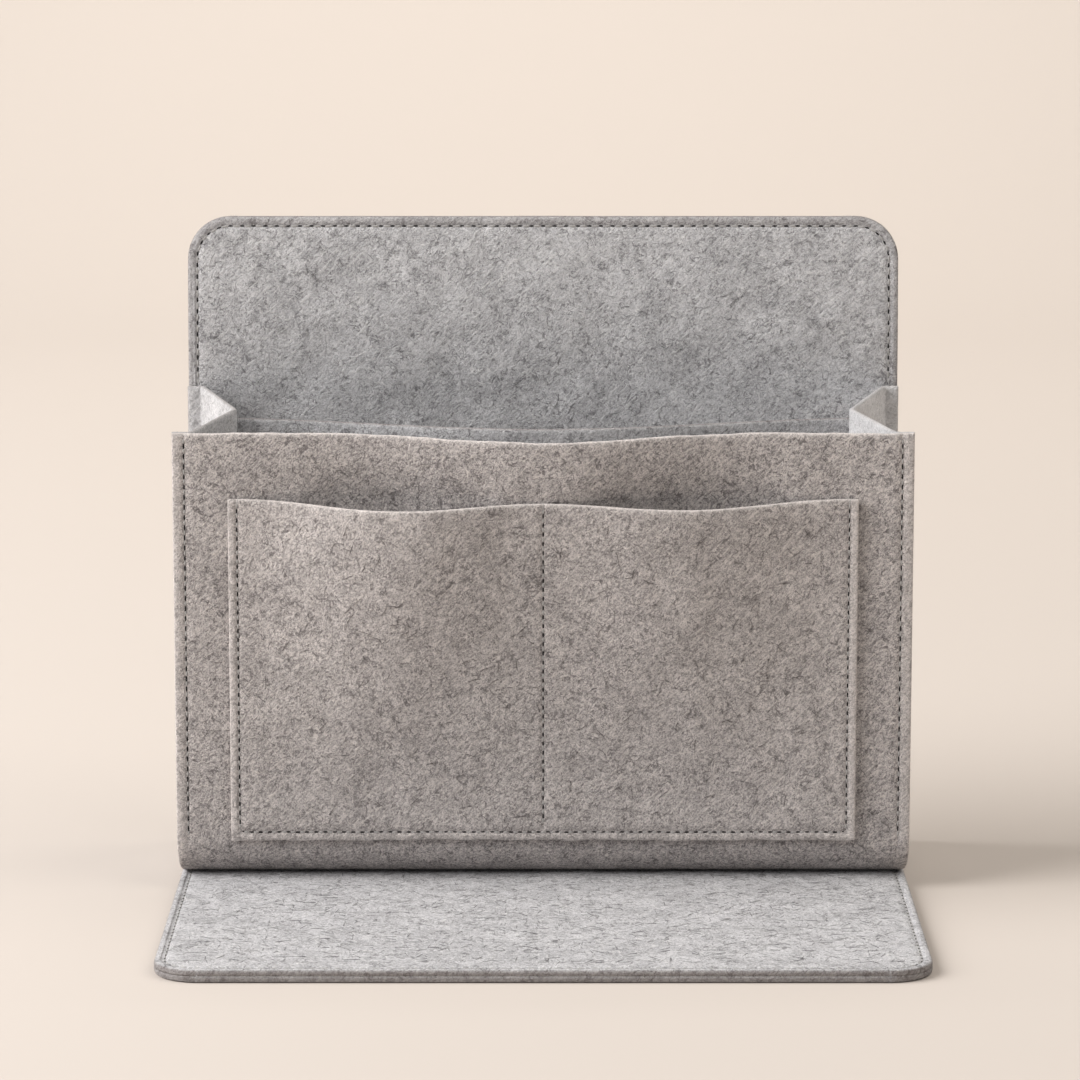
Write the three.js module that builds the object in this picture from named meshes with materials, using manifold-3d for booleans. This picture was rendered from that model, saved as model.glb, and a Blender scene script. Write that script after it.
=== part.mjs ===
// Felt bedside caddy. One doubled felt strip makes the back panel and the flap, and a pocket with
// bellows sides stands on the flap. Millimetres, +X to the right, +Y to the back, +Z up.
// The origin lies on the underside of the flap, below the middle of the pocket.
import * as THREE from 'three';
import Module from 'manifold-3d';
import { mergeVertices } from 'three/addons/utils/BufferGeometryUtils.js';

// Felt and the clearance between two layers that lie on each other
const feltThickness = 2.6;
const layerGap = 0.3;

// Doubled strip: back panel and flap, stitched round the edge
const stripWidth = 325;
const backHeight = 292;
const flapReach = 250;
const cornerRadius = 19;
const edgeInset = 4.2;
const leanHeight = 80;
const leanBack = 8;

// Pocket: distance between the two gusset seams, front panel and its bend into the base
const pocketDepth = 80;
const frontHeight = 206.5;
const frontMargin = 5.2;
const bendRadius = 18;
const frontBulge = 14;
const frontBulgeHalfWidth = 98;
const frontDip = 2.4;
const baseFlangeHeight = 10;

// Gussets: how far the middle fold reaches in, their height at the back, their clearance over the base,
// and how far their lower edge rises towards the bend of the front panel
const gussetFoldReach = 16.7;
const gussetRearHeight = 215.5;
const gussetClearance = 2;
const gussetFrontRise = 11;
const frontFlangeDrop = 1.3;
const hingeInset = 1.6;

// Divider panel, notched at its lower corners for the folding gussets
const dividerHeight = 200.5;
const dividerBulge = 28;
const dividerDip = 1.2;
const lapEase = 6.1;
const notchWidth = 20;
const notchSlant = 2;

// Patch pocket with two mouths
const patchWidth = 278;
const patchTop = 177.5;
const patchHeight = 154;
const patchInset = 4;
const leftMouthBulge = 16;
const rightMouthBulge = 12;
const mouthDip = 2.5;

// Thread and the groove that it draws into the felt
const threadWidth = 0.9;
const threadHeight = 0.6;
const baseSeamRise = 6;
const rowCornerRadius = 3;

// Places worked out from the sizes above
const layer = feltThickness + layerGap;
const stripThickness = feltThickness + layer;
const stripHalf = stripWidth / 2;
const seamX = stripHalf - edgeInset;
const hingeX = seamX - hingeInset;
const rearSeamY = pocketDepth / 2;
const frontSeamY = -pocketDepth / 2;
const frontFaceY = frontSeamY - feltThickness - layer;
const backFaceY = rearSeamY + 2 * layer;
const foldY = backFaceY + stripThickness / 2;
const foldZ = stripThickness / 2;
const baseBottom = stripThickness + layerGap;
const baseTop = baseBottom + feltThickness;
const bendTop = baseBottom + bendRadius;
const frontHalf = seamX + frontMargin;
const leanStart = backHeight - leanHeight;
const baseFlangeTop = baseBottom + baseFlangeHeight;
const baseSeamZ = baseBottom + baseSeamRise;
const gussetBottom = baseTop + gussetClearance;
const frontFlangeBottom = bendTop - frontFlangeDrop;
const lapBottom = baseTop + layerGap;
const lapStraightTop = baseFlangeTop + layerGap;
const lapTop = lapStraightTop + lapEase;
const patchBottom = patchTop - patchHeight;
const patchRowX = patchWidth / 2 - patchInset;
const patchRowZ = patchBottom + patchInset;
const grooveWidth = threadWidth + 2 * layerGap;
const grooveDepth = threadHeight + layerGap;

const wasm = await Module();
wasm.setup();

const felt = new THREE.MeshStandardMaterial({ color: 0xb3afac, roughness: 0.95, metalness: 0 });
const thread = new THREE.MeshStandardMaterial({ color: 0xc6c2bd, roughness: 0.8, metalness: 0 });
const caddy = new THREE.Group();

function add(name, geometry, material) {
  const mesh = new THREE.Mesh(geometry, material);
  mesh.name = name;
  caddy.add(mesh);
}

// Evenly spaced values from low to high, both included
function spaced(low, high, steps) {
  return Array.from({ length: steps + 1 }, (_, i) => low + ((high - low) * i) / steps);
}

// A smooth hump of height 1 in the middle that ends level at both sides
function hump(x, halfWidth) {
  return Math.abs(x) < halfWidth ? Math.cos((Math.PI * x) / (2 * halfWidth)) ** 2 : 0;
}

// A smooth rise from 0 at low to 1 at high
function rise(z, low, high) {
  const t = THREE.MathUtils.clamp((z - low) / (high - low), 0, 1);
  return t * t * (3 - 2 * t);
}

// A closed body from points and triangles, with its faces turned outwards
function body(points, triangles) {
  const corner = triangles.map((i) => points[i]);
  let volume = 0;
  for (let i = 0; i < corner.length; i += 3) {
    volume += corner[i].dot(corner[i + 1].clone().cross(corner[i + 2]));
  }
  const index = [...triangles];
  if (volume < 0) {
    index.reverse();
  }
  const flat = points.flatMap((p) => p.toArray());
  const geometry = new THREE.BufferGeometry();
  geometry.setAttribute('position', new THREE.Float32BufferAttribute(flat, 3));
  geometry.setIndex(index);
  return geometry;
}

// A sheet of felt: place(column, row, side) gives a point on its near face (0) or its far face (1)
function sheet(columns, rows, place) {
  const points = [];
  const triangles = [];
  const across = columns.length;
  const count = across * rows.length;
  for (const side of [0, 1]) {
    for (const row of rows) {
      points.push(...columns.map((column) => place(column, row, side)));
    }
  }
  const quad = (a, b, c, d) => triangles.push(a, b, c, a, c, d);
  for (let j = 0; j < rows.length - 1; j++) {
    for (let i = 0; i < across - 1; i++) {
      const a = j * across + i;
      const b = a + across;
      quad(a, a + 1, b + 1, b);
      quad(count + a, count + b, count + b + 1, count + a + 1);
    }
    const left = j * across;
    const right = left + across - 1;
    quad(left, left + across, count + left + across, count + left);
    quad(right, count + right, count + right + across, right + across);
  }
  const last = (rows.length - 1) * across;
  for (let i = 0; i < across - 1; i++) {
    quad(i, count + i, count + i + 1, i + 1);
    quad(last + i, last + i + 1, count + last + i + 1, count + last + i);
  }
  return body(points, triangles);
}

// A strand of rectangular section along a stitch row. The row lies in a plane (across, along), and
// place(across, along, depth) puts a point at a depth below the face that is sewn.
function strand(row, width, top, bottom, place) {
  const points = [];
  const triangles = [];
  const section = [
    [-width / 2, top],
    [width / 2, top],
    [width / 2, bottom],
    [-width / 2, bottom],
  ];
  row.forEach((point, i) => {
    const before = row[Math.max(i - 1, 0)];
    const after = row[Math.min(i + 1, row.length - 1)];
    const run = after.clone().sub(before).normalize();
    section.forEach(([aside, depth]) => {
      points.push(place(point.x - run.y * aside, point.y + run.x * aside, depth));
    });
  });
  for (let i = 0; i < row.length - 1; i++) {
    for (let k = 0; k < 4; k++) {
      const a = 4 * i + k;
      const b = 4 * i + ((k + 1) % 4);
      triangles.push(a, b, b + 4, a, b + 4, a + 4);
    }
  }
  const end = 4 * (row.length - 1);
  triangles.push(0, 2, 1, 0, 3, 2, end, end + 1, end + 2, end, end + 2, end + 3);
  return body(points, triangles);
}

// A straight stitch row
function straightRow(fromX, fromZ, toX, toZ, steps) {
  return spaced(0, 1, steps).map(
    (t) => new THREE.Vector2(fromX + (toX - fromX) * t, fromZ + (toZ - fromZ) * t),
  );
}

// A stitch row that runs along one side, round two corners and back along the other side
function archRow(half, start, end, radius, steps) {
  const turn = Math.sign(end - start);
  const side = spaced(start, end - turn * radius, steps).slice(0, -1);
  const arc = spaced(0, Math.PI / 2, 6).map((a) => [
    half - radius + radius * Math.cos(a),
    end - turn * radius * (1 - Math.sin(a)),
  ]);
  const right = [...side.map((along) => [half, along]), ...arc];
  const left = [...right].reverse().map(([across, along]) => [-across, along]);
  return [...right, ...left].map(([across, along]) => new THREE.Vector2(across, along));
}

function solid(geometry) {
  const bare = geometry.clone();
  bare.deleteAttribute('normal');
  bare.deleteAttribute('uv');
  const merged = mergeVertices(bare);
  const mesh = new wasm.Mesh({
    numProp: 3,
    vertProperties: Float32Array.from(merged.attributes.position.array),
    triVerts: Uint32Array.from(merged.index.array),
  });
  return new wasm.Manifold(mesh);
}

// Felt with stitch grooves cut into it
function grooved(geometry, grooves) {
  const cut = grooves.reduce((left, groove) => left.subtract(solid(groove)), solid(geometry)).getMesh();
  const result = new THREE.BufferGeometry();
  result.setAttribute('position', new THREE.BufferAttribute(cut.vertProperties, 3));
  result.setIndex(new THREE.BufferAttribute(cut.triVerts, 1));
  return result;
}

// The groove of a stitch row, open at the face, and the thread that lies in it
function grooveOf(row, place) {
  return strand(row, grooveWidth, -grooveDepth, grooveDepth, place);
}

function threadOf(row, place) {
  return strand(row, threadWidth, 0, threadHeight, place);
}

// Half the strip's width at a distance from its rounded end
function stripHalfAt(fromEnd) {
  const short = Math.max(cornerRadius - fromEnd, 0);
  return stripHalf - cornerRadius + Math.sqrt(cornerRadius ** 2 - short ** 2);
}

// Distances from the strip's end that follow its rounded corners
const cornerSteps = spaced(0, Math.PI / 2, 6).map((a) => cornerRadius * (1 - Math.cos(a)));

// Back panel: upright at the pocket, and leaning back above it
function backPoint(x, z, depth) {
  const lean = leanBack * (Math.max(z - leanStart, 0) / leanHeight) ** 2;
  return new THREE.Vector3(x, backFaceY + lean + depth, z);
}

function backLayer(depth, grooves) {
  const upright = [baseBottom, ...spaced(leanStart, backHeight - cornerRadius, 6).slice(0, -1)];
  const rows = [...upright, ...[...cornerSteps].reverse().map((d) => backHeight - d)];
  const geometry = sheet([-1, 1], rows, (side, z, face) =>
    backPoint(side * stripHalfAt(backHeight - z), z, depth + face * feltThickness),
  );
  return grooved(geometry, grooves);
}

function backPanel() {
  const rowTop = backHeight - edgeInset;
  const rowRadius = cornerRadius - edgeInset;
  const frontRow = archRow(seamX, gussetRearHeight + edgeInset, rowTop, rowRadius, 6);
  const rearRow = archRow(seamX, baseBottom + edgeInset, rowTop, rowRadius, 14);
  const baseRow = straightRow(-hingeX, baseSeamZ, hingeX, baseSeamZ, 1);
  const onRear = (x, z, depth) => backPoint(x, z, stripThickness - depth);
  add('back_panel_front_layer', backLayer(0, [grooveOf(frontRow, backPoint)]), felt);
  const rearGrooves = [grooveOf(rearRow, onRear), grooveOf(baseRow, onRear)];
  add('back_panel_rear_layer', backLayer(layer, rearGrooves), felt);
  add('back_edge_thread_front', threadOf(frontRow, backPoint), thread);
  add('back_edge_thread_rear', threadOf(rearRow, onRear), thread);
  add('base_seam_thread', threadOf(baseRow, onRear), thread);
}

// Flap: lies forward from the fold, with a round nose on the fold axis so that it turns freely
function flapPoint(x, reach, height) {
  return new THREE.Vector3(x, foldY - reach, height);
}

function flapLayer(top, grooves) {
  const radius = stripThickness / 2;
  const tipHeight = layerGap;
  const noseAngle = Math.acos(tipHeight / radius);
  const nose = spaced(noseAngle, 0, 5).map((a) => -radius * Math.sin(a));
  const rows = [...nose, ...[...cornerSteps].reverse().map((d) => flapReach - d)];
  const sign = top ? 1 : -1;
  const geometry = sheet([-1, 1], rows, (side, reach, face) => {
    const outer = reach < 0 ? Math.sqrt(radius ** 2 - reach ** 2) : radius;
    const height = foldZ + sign * (face ? layerGap / 2 : outer);
    return flapPoint(side * stripHalfAt(flapReach - reach), reach, height);
  });
  return grooved(geometry, grooves);
}

function flap() {
  const row = archRow(seamX, edgeInset, flapReach - edgeInset, cornerRadius - edgeInset, 10);
  const onTop = (x, reach, depth) => flapPoint(x, reach, stripThickness - depth);
  const below = (x, reach, depth) => flapPoint(x, reach, depth);
  add('flap_top_layer', flapLayer(true, [grooveOf(row, onTop)]), felt);
  add('flap_bottom_layer', flapLayer(false, [grooveOf(row, below)]), felt);
  add('flap_edge_thread_top', threadOf(row, onTop), thread);
  add('flap_edge_thread_bottom', threadOf(row, below), thread);
}

// Front panel: bulges forward in the middle of its top edge, and bends under at the bottom
function frontBulgeAt(x, z) {
  return frontBulge * hump(x, frontBulgeHalfWidth) * rise(z, bendTop, frontHeight);
}

function frontPoint(x, z, depth) {
  return new THREE.Vector3(x, frontFaceY - frontBulgeAt(x, z) + depth, z);
}

function frontPanel() {
  const columns = spaced(-frontHalf, frontHalf, 30);
  const bend = spaced(-1, 0, 6).slice(0, -1);
  const upright = spaced(0, 1, 10);
  const geometry = sheet(columns, [...bend, ...upright], (x, step, face) => {
    const depth = face * feltThickness;
    if (step < 0) {
      const angle = (-step * Math.PI) / 2;
      const radius = bendRadius - depth;
      const y = frontFaceY + bendRadius - radius * Math.cos(angle);
      return new THREE.Vector3(x, y, bendTop - radius * Math.sin(angle));
    }
    const top = frontHeight - frontDip * hump(x, frontBulgeHalfWidth);
    return frontPoint(x, bendTop + step * (top - bendTop), depth);
  });
  const seam = (x, low, high) => straightRow(x, low, x, high, 1);
  const grooves = [-seamX, seamX].map((x) =>
    grooveOf(seam(x, bendTop, frontHeight + grooveDepth), frontPoint),
  );
  add('front_panel', grooved(geometry, grooves), felt);
  for (const [name, x] of [['left', -seamX], ['right', seamX]]) {
    const sewn = threadOf(seam(x, bendTop + layerGap, frontHeight), frontPoint);
    add(`${name}_front_seam_thread`, sewn, thread);
  }
}

// Base: the front panel's sheet runs back on the flap and turns up against the back panel
function basePanel() {
  const profile = new THREE.Shape();
  const front = frontFaceY + bendRadius + layerGap;
  const rear = backFaceY - layerGap;
  profile.moveTo(front, baseBottom);
  profile.lineTo(rear, baseBottom);
  profile.lineTo(rear, baseFlangeTop);
  profile.lineTo(rear - feltThickness, baseFlangeTop);
  profile.lineTo(rear - feltThickness, baseTop);
  profile.lineTo(front, baseTop);
  profile.closePath();
  const geometry = new THREE.ExtrudeGeometry(profile, { depth: stripWidth, bevelEnabled: false });
  geometry.translate(0, 0, -stripHalf);
  geometry.rotateY(Math.PI / 2);
  geometry.rotateX(Math.PI / 2);
  add('base_panel', geometry, felt);
}

// Divider: laps over the base flange at the bottom and bulges forward in the middle
function dividerPanel() {
  const notchTop = lapTop + notchSlant;
  const columns = spaced(-1, 1, 28);
  const rows = [lapBottom, lapStraightTop, lapTop, ...spaced(notchTop, dividerHeight, 11)];
  const geometry = sheet(columns, rows, (share, z, face) => {
    const x = share * (z < notchTop ? stripHalf - notchWidth : stripHalf);
    const lapped = layer * (1 - rise(z, lapStraightTop, lapTop));
    const grown = hump(x, seamX) * rise(z, lapTop, dividerHeight);
    const y = backFaceY - layer - lapped - dividerBulge * grown + face * feltThickness;
    return new THREE.Vector3(x, y, z - dividerDip * grown);
  });
  add('divider_panel', geometry, felt);
}

// Patch pocket: flat on the front panel at its stitch rows, bulging between them towards the mouths
function patchPoint(x, z, depth) {
  const halfMouth = patchRowX / 2;
  const left = leftMouthBulge * hump(x + halfMouth, halfMouth);
  const right = rightMouthBulge * hump(x - halfMouth, halfMouth);
  const mouth = (left + right) * rise(z, patchRowZ, patchTop);
  return new THREE.Vector3(x, frontFaceY - frontBulgeAt(x, z) - layer - mouth + depth, z);
}

function patchPocket() {
  const halfMouth = patchRowX / 2;
  const edge = [-patchWidth / 2, ...spaced(-patchRowX, patchRowX, 32), patchWidth / 2];
  const rows = [patchBottom, ...spaced(patchRowZ, patchTop, 12)];
  const geometry = sheet(edge, rows, (x, z, face) => {
    const mouths = hump(x + halfMouth, halfMouth) + hump(x - halfMouth, halfMouth);
    const dip = mouthDip * mouths * rise(z, patchRowZ, patchTop);
    const point = patchPoint(x, z, face * feltThickness);
    return point.setZ(z - dip);
  });
  const edgeRow = archRow(patchRowX, patchTop, patchRowZ, rowCornerRadius, 10);
  const centreRow = straightRow(0, patchTop, 0, patchRowZ + edgeInset, 12);
  const grooves = [edgeRow, centreRow].map((row) => grooveOf(row, patchPoint));
  add('patch_pocket_panel', grooved(geometry, grooves), felt);
  add('patch_edge_thread', threadOf(edgeRow, patchPoint), thread);
  add('patch_centre_thread', threadOf(centreRow, patchPoint), thread);
}

// One gusset: a rear flange, two halves that fold inwards between them, and a front flange.
// The halves turn about their outer faces, at the flanges and at the middle fold.
function gusset(name, side) {
  const foldHeight = (gussetRearHeight + frontHeight) / 2;
  const foldX = hingeX - gussetFoldReach;
  const half = (seamY, seamBottom, seamHeight) => {
    const run = new THREE.Vector2(foldX - hingeX, -seamY);
    const length = run.length();
    run.normalize();
    const inward = new THREE.Vector2(-Math.abs(run.y), Math.sign(seamY) * Math.abs(run.x));
    const ends = [layerGap / 2, length - layerGap / 2];
    return sheet(ends, [0, 1], (along, step, face) => {
      const share = along / length;
      const top = seamHeight + (foldHeight - seamHeight) * share;
      const bottom = seamBottom + (gussetBottom - seamBottom) * share;
      const x = hingeX + run.x * along + inward.x * face * feltThickness;
      const y = seamY + run.y * along + inward.y * face * feltThickness;
      return new THREE.Vector3(side * x, y, bottom + step * (top - bottom));
    });
  };
  const flange = (outerX, nearY, bottom, height) =>
    sheet([hingeX + layerGap / 2, outerX], [bottom, height], (x, z, face) =>
      new THREE.Vector3(side * x, nearY + face * feltThickness, z),
    );
  const onFlange = (x, z, depth) => new THREE.Vector3(x, rearSeamY + depth, z);
  const seam = (low, high) => straightRow(side * seamX, low, side * seamX, high, 1);
  const groove = grooveOf(seam(gussetBottom - grooveDepth, gussetRearHeight + grooveDepth), onFlange);
  const rearFlange = flange(stripHalf, rearSeamY, gussetBottom, gussetRearHeight);
  const frontFlange = flange(frontHalf, frontSeamY - feltThickness, frontFlangeBottom, frontHeight);
  const frontBottom = gussetBottom + gussetFrontRise;
  add(`${name}_gusset_rear_flange`, grooved(rearFlange, [groove]), felt);
  add(`${name}_gusset_rear_half`, half(rearSeamY, gussetBottom, gussetRearHeight), felt);
  add(`${name}_gusset_front_half`, half(frontSeamY, frontBottom, frontHeight), felt);
  add(`${name}_gusset_front_flange`, frontFlange, felt);
  add(`${name}_rear_seam_thread`, threadOf(seam(gussetBottom, gussetRearHeight), onFlange), thread);
}

backPanel();
flap();
frontPanel();
basePanel();
dividerPanel();
patchPocket();
gusset('left', -1);
gusset('right', 1);

export default caddy;
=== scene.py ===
import bpy
import numpy as np
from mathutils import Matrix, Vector


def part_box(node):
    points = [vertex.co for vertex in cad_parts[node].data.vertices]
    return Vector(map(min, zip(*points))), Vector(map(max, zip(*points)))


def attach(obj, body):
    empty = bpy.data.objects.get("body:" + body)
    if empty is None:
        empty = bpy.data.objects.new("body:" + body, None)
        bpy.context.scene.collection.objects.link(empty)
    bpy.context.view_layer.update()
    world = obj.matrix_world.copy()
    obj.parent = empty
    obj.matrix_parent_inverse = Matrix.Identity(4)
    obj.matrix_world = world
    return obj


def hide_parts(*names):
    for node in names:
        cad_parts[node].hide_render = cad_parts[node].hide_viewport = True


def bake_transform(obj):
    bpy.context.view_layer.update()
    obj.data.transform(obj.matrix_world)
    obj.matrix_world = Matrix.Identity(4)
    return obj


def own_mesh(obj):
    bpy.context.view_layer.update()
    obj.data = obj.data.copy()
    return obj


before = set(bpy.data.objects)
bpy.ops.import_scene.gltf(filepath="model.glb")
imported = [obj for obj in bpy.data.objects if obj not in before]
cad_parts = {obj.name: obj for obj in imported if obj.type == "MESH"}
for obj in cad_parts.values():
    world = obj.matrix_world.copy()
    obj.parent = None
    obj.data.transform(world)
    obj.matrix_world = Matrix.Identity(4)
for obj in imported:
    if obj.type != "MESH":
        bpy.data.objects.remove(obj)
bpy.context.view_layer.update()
dice = np.random.default_rng(11)                # shared by the stitch rows, in the order they are sewn


# a node's lowest and highest corner; every size in this script is in millimetres
def nodeBox(node):
    low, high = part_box(node)
    return 1000 * np.array(low), 1000 * np.array(high)


backBox = nodeBox("back_panel_front_layer")
rearBox = nodeBox("back_panel_rear_layer")
flapBox = nodeBox("flap_top_layer")
frontBox = nodeBox("front_panel")
baseBox = nodeBox("base_panel")
dividerBox = nodeBox("divider_panel")
patchBox = nodeBox("patch_pocket_panel")
halfBox = nodeBox("right_gusset_rear_half")
rearFlangeBox = nodeBox("right_gusset_rear_flange")
frontFlangeBox = nodeBox("right_gusset_front_flange")
frontThreadBox = nodeBox("right_front_seam_thread")
patchThreadBox = nodeBox("patch_edge_thread")
baseThreadBox = nodeBox("base_seam_thread")

halfThread = 0.45                               # half the width of a seam's bar in the frame
thick = flapBox[1][2] - flapBox[0][2]           # one layer of felt
layerGap = rearBox[0][1] - backBox[0][1] - thick
layer = thick + layerGap                        # from one layer to the next
stripHalf = flapBox[1][0]
seamX = (frontThreadBox[0][0] + frontThreadBox[1][0]) / 2
stripInset = stripHalf - seamX
backTop = backBox[1][2]
backFace = backBox[0][1]
flapFront = flapBox[0][1]
baseBottom = baseBox[0][2]
frontFace = frontFlangeBox[0][1] - layer        # face of the front panel at its seams
frontHalf = frontBox[1][0]
frontTop = frontBox[1][2]
bendTop = frontThreadBox[0][2] - layerGap
patchHalf = patchBox[1][0]
patchTop = patchBox[1][2]
patchBottom = patchBox[0][2]
patchRowX = (patchThreadBox[1][0] - patchThreadBox[0][0]) / 2 - halfThread
gussetBottom = rearFlangeBox[0][2]
gussetRearTop = rearFlangeBox[1][2]
rearSeamY = rearFlangeBox[0][1]
hingeX = halfBox[1][0]
print("felt layer", round(thick, 2), "strip half width", round(stripHalf, 1))


# cosine squared, 1 in the middle and level at both sides
def hump(x, halfWidth):
    return np.where(np.abs(x) < halfWidth, np.cos(np.pi * x / (2 * halfWidth)) ** 2, 0)


# cubic step from 0 at low to 1 at high
def rise(value, low, high):
    t = np.clip((value - low) / (high - low), 0, 1)
    return t * t * (3 - 2 * t)


# sum of a few plane waves of random direction, about 1 at its largest
def waves(a, b, seed, longest=90, shortest=22, count=10):
    pick = np.random.default_rng(seed)
    lengths = np.geomspace(longest, shortest, count)
    turns = pick.uniform(0, 2 * np.pi, count)
    shifts = pick.uniform(0, 2 * np.pi, count)
    total = sum(np.sin(2 * np.pi / length * (a * np.cos(turn) + b * np.sin(turn)) + shift)
                for length, turn, shift in zip(lengths, turns, shifts))
    return total / np.sqrt(count)


gridDigits = 4                                  # places of grid lines and cuts are rounded to these


# evenly spaced lines plus close ones at given places, without even lines right beside a close one
def gridLines(low, high, step, close=(), apart=0.45):
    close = np.unique(np.round(np.concatenate([[low, high], *close]), gridDigits))
    close = close[(close >= low) & (close <= high)]
    even = np.linspace(low, high, max(int(np.ceil((high - low) / step)), 1) + 1)
    far = np.min(np.abs(even[:, None] - close[None]), axis=1) > apart * step
    return np.sort(np.concatenate([close, even[far]]))


# quads of a grid, from the numbers of its points
def gridQuads(index):
    return np.stack([index[:-1, :-1], index[:-1, 1:], index[1:, 1:], index[1:, :-1]], -1).reshape(-1, 4)


# quads round tubes: the last axis of the numbers goes round, the one before it along
def tubeQuads(index):
    after = np.roll(index, -1, axis=-1)
    corners = [index[..., :-1, :], index[..., 1:, :], after[..., 1:, :], after[..., :-1, :]]
    return np.stack(corners, -1).reshape(-1, 4)


edgeSteps = np.array([0, 0.2, 0.55, 1.1, 1.9, 2.7])         # grid lines inside a cut edge
rowSteps = np.array([-1.5, -1, -0.5, 0, 0.5, 1, 1.5])       # grid lines across a stitch row


def addMesh(name, points, faces, **attributes):
    mesh = bpy.data.meshes.new(name)
    mesh.from_pydata((points * 0.001).tolist(), [], faces)
    for key, values in attributes.items():
        column = mesh.attributes.new(key, "FLOAT", "POINT")
        column.data.foreach_set("value", values.astype(np.float32))
    mesh.polygons.foreach_set("use_smooth", [True] * len(mesh.polygons))
    mesh.validate()
    mesh.update()
    piece = bpy.data.objects.new(name, mesh)
    bpy.context.scene.collection.objects.link(piece)
    return piece


fuzzLook = {"share": 0.1, "length": 1.5, "height": 0.55, "sink": 0.12, "radius": 0.05, "curl": 0.35}
strandLook = {"share": 0.26, "length": 5.2, "height": 0.13, "sink": 0.02, "radius": 0.2, "curl": 0.5}
hair = {"rings": 4, "sides": 3, "lengths": (0.4, 1.5), "heights": (0.2, 1.3), "arch": 0.8, "blunt": 1.1,
        "floorReach": 1.6, "floorRoom": 1}
hairPoints = hair["rings"] * hair["sides"]


# Fibres: three-sided tapered tubes from random grid points. Each rises along the surface normal by part
# of a sine and runs off sideways, bent by the square of its length. Near the floor they only point up.
def fibres(roots, normals, look, seed):
    pick = np.random.default_rng(seed)
    count = len(roots)
    lean = pick.normal(size=(count, 3))
    lean -= normals * (lean * normals).sum(1, keepdims=True)
    lean /= np.linalg.norm(lean, axis=1, keepdims=True)
    low = (roots[:, 2] < hair["floorReach"] * look["length"] + hair["floorRoom"])[:, None]
    lean = np.where(low & (lean[:, 2:] < 0), -lean, lean)
    aside = np.cross(normals, lean)
    bend = np.where(low, 0, aside * pick.normal(0, look["curl"], (count, 1)))
    length = look["length"] * pick.uniform(*hair["lengths"], (count, 1, 1))
    height = look["height"] * pick.uniform(*hair["heights"], (count, 1, 1))
    along = np.linspace(0, 1, hair["rings"])[None, :, None]
    lifted = height * np.sin(hair["arch"] * np.pi * along) - look["sink"]
    line = roots[:, None] + normals[:, None] * lifted
    line = line + (lean[:, None] * along + bend[:, None] * along ** 2) * length
    turn = 2 * np.pi * np.arange(hair["sides"]) / hair["sides"]
    ring = np.cos(turn)[:, None] * aside[:, None] + np.sin(turn)[:, None] * normals[:, None]
    tubes = line[:, :, None] + (look["radius"] * (hair["blunt"] - along))[..., None] * ring[:, None]
    index = np.arange(count * hairPoints).reshape(count, hair["rings"], hair["sides"])
    return tubes.reshape(-1, 3), tubeQuads(index), np.concatenate([index[:, 0], index[:, -1, ::-1]])


feltLook = {"roundOver": 1.6, "softEdge": 2.7, "edgeShare": 0.4, "fray": 0.25, "cutWidth": 0.4,
            "paleWidth": 0.65, "underside": -0.3, "calmEdge": 9, "faintest": 0.55}


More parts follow.
